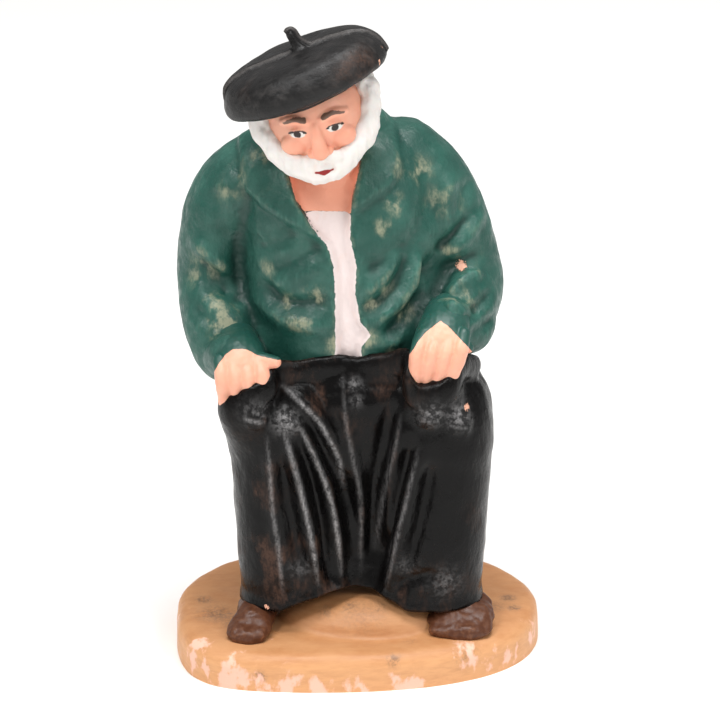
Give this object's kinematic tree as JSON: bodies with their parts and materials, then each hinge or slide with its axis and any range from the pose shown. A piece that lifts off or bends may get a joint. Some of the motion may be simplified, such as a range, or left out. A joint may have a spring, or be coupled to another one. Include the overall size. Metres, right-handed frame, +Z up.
{
  "type": "caganer figurine",
  "caption": "Moulded and hand-painted nativity figurine of an old countryman in a beret, squatting with lowered trousers on a rounded oval base.",
  "frame": {"origin": "middle of the flat underside of the base", "axes": "+Z up, -Y the way the figure faces, +X towards the figure's left hand"},
  "size_m": [0.0496, 0.0406, 0.0869],
  "materials": {
    "painted_plastic": "satin"
  },
  "bodies": {
    "root": {"caganer_figurine": "painted_plastic"}
  },
  "joints": []
}
